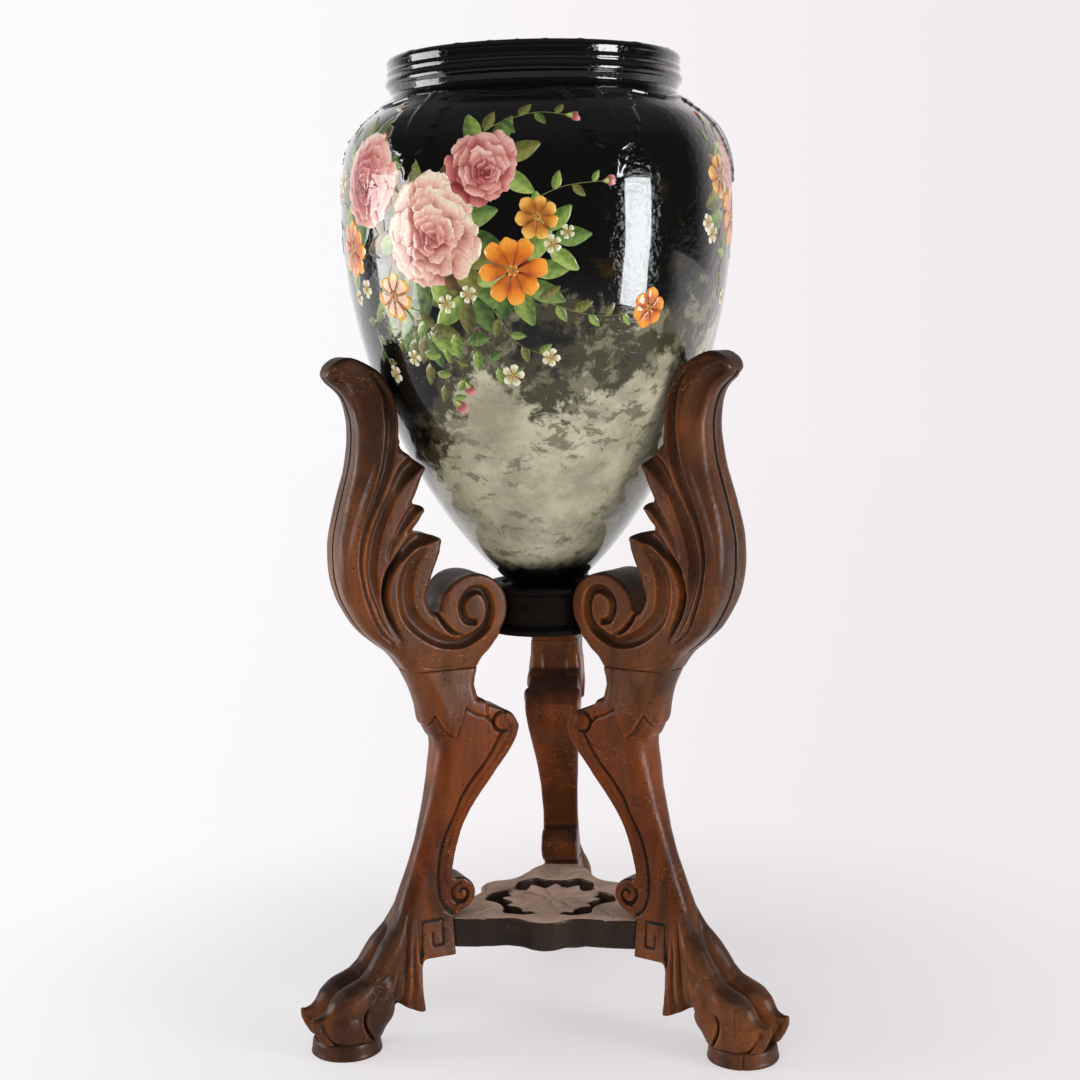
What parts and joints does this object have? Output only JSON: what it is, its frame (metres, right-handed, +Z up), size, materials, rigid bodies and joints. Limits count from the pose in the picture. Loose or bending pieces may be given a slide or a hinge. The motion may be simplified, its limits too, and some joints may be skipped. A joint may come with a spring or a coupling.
{
  "type": "vase on tripod stand",
  "caption": "Tall inverted-pear glazed vase standing in a carved wooden tripod with scrolled brackets, pierced shelf and paw feet.",
  "frame": {"origin": "on the floor, on the vertical axis that the vase, the cup block and the shelf share", "axes": "+Z up along the stand's axis; the back leg points along +Y and the two front legs lie 120 degrees to each side of it"},
  "size_m": [0.594, 0.5678, 1.198],
  "materials": {
    "glaze": "gloss",
    "ebonised_wood": "satin",
    "walnut": "satin",
    "dark_walnut": "satin",
    "beech": "matte"
  },
  "bodies": {
    "stand": {"cup_block": "ebonised_wood", "leg_left_upper": "walnut", "leg_right_upper": "walnut", "leg_back_upper": "walnut", "leg_left_lower": "walnut", "leg_right_lower": "walnut", "leg_back_lower": "walnut", "foot_pad_left": "dark_walnut", "foot_pad_right": "dark_walnut", "foot_pad_back": "dark_walnut", "shelf": "dark_walnut", "cup_dowels": "beech", "leg_dowels": "beech", "shelf_dowels": "beech", "pad_dowels": "beech"},
    "vase": {"vase": "glaze"}
  },
  "joints": [
    {"name": "vase_lift", "type": "slide", "parent": "stand", "child": "vase", "axis": [0, 0, 1], "range_m": [0, 0.32]}
  ]
}
